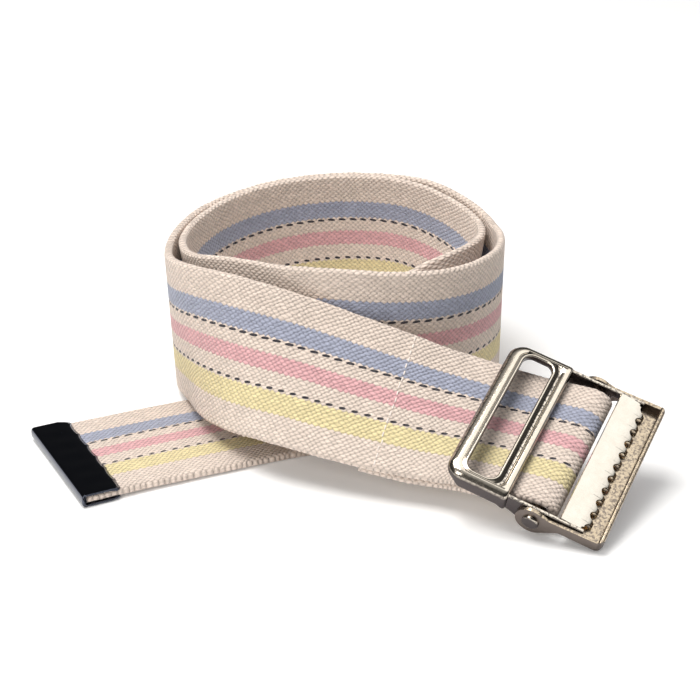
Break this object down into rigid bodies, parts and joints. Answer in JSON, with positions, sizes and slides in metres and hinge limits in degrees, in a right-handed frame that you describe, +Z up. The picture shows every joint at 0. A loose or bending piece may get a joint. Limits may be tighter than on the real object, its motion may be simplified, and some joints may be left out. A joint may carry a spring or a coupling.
{
  "type": "gait belt",
  "caption": "Loosely rolled striped cotton transfer belt with a capped free end and a hinged toothed metal buckle on a sewn loop.",
  "frame": {"origin": "bottom centre of the bounding box, on the surface the belt lies on", "axes": "+Z up, +X from the free tip towards the buckle, -Y towards the side the strap crosses"},
  "size_m": [0.2106, 0.191, 0.0606],
  "materials": {
    "cotton_webbing": "woven",
    "sewing_thread": "matt",
    "tip_plate": "polished",
    "buckle_plate": "polished"
  },
  "bodies": {
    "belt": {"webbing_tail": "cotton_webbing", "webbing_tail_under_roll": "cotton_webbing", "webbing_tail_rise": "cotton_webbing", "webbing_inner_front": "cotton_webbing", "webbing_inner_right": "cotton_webbing", "webbing_inner_back_right": "cotton_webbing", "webbing_inner_back": "cotton_webbing", "webbing_inner_back_left": "cotton_webbing", "webbing_inner_left": "cotton_webbing", "webbing_front_left": "cotton_webbing", "webbing_front": "cotton_webbing", "webbing_front_right": "cotton_webbing", "webbing_outer_right": "cotton_webbing", "webbing_outer_right_rear": "cotton_webbing", "webbing_outer_back_right": "cotton_webbing", "webbing_outer_back": "cotton_webbing", "webbing_outer_back_left": "cotton_webbing", "webbing_outer_left": "cotton_webbing", "webbing_outer_left_front": "cotton_webbing", "webbing_strap": "cotton_webbing", "webbing_strap_twist": "cotton_webbing", "webbing_buckle_strap": "cotton_webbing", "webbing_strap_end": "cotton_webbing", "webbing_axle_loop": "cotton_webbing", "webbing_loop_return": "cotton_webbing", "loop_stitching": "sewing_thread", "tip_cap": "tip_plate"},
    "lever": {"lever_frame": "buckle_plate"},
    "base": {"base_frame": "buckle_plate", "axle_rivet": "buckle_plate"}
  },
  "joints": [
    {"name": "buckle_swing", "type": "hinge", "parent": "belt", "child": "lever", "pos_m": [0.07195, -0.06139, 0.01674], "axis": [0.4325, 0.8308, 0.3502], "range_deg": [0, 60]},
    {"name": "jaw_open", "type": "hinge", "parent": "lever", "child": "base", "pos_m": [0.07195, -0.06139, 0.01674], "axis": [0.4325, 0.8308, 0.3502], "range_deg": [0, 35]}
  ]
}
